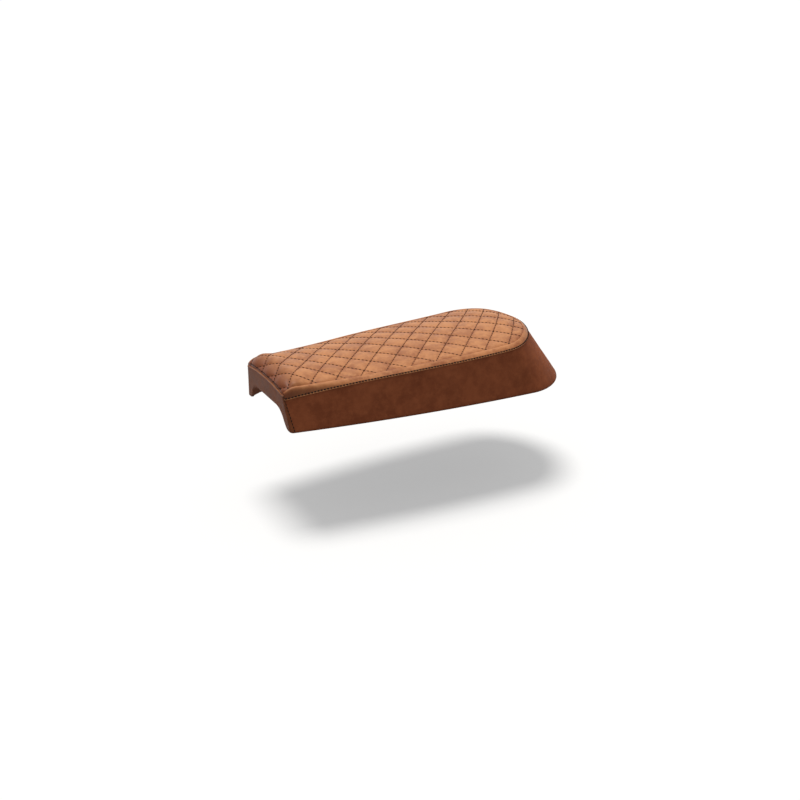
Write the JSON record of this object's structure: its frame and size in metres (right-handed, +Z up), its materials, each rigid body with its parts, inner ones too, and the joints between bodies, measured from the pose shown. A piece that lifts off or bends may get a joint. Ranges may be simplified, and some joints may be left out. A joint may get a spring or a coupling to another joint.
{
  "type": "scrambler seat",
  "caption": "Flat motorbike seat with a diamond-quilted leather top, a wrapped side band, a rounded tail and an arched front, on a moulded pan with threaded fixings.",
  "frame": {"origin": "middle of the seat's length and width, on the plane of its lower rim", "axes": "+X to the front of the bike, +Y to the rider's left, +Z up"},
  "size_m": [0.59, 0.2718, 0.1088],
  "materials": {
    "quilted_leather": "waxed tan, quilted",
    "side_leather": "mottled dark brown",
    "front_leather": "mottled dark brown",
    "foam": "open-cell moulded foam",
    "pan_plastic": "grained black",
    "strip_steel": "zinc plated",
    "rivet_metal": "plain",
    "buffer_rubber": "matt black"
  },
  "bodies": {
    "root": {"top_panel": "quilted_leather", "side_band": "side_leather", "front_panel": "front_leather", "foam_core": "foam", "base_pan": "pan_plastic", "mount_strip_front": "strip_steel", "mount_strip_rear": "strip_steel", "weld_nuts": "strip_steel", "strip_rivets": "rivet_metal", "hem_staples": "rivet_metal", "buffer_front_left": "buffer_rubber", "buffer_front_right": "buffer_rubber", "buffer_middle_left": "buffer_rubber", "buffer_middle_right": "buffer_rubber", "buffer_rear_left": "buffer_rubber", "buffer_rear_right": "buffer_rubber"}
  },
  "joints": []
}
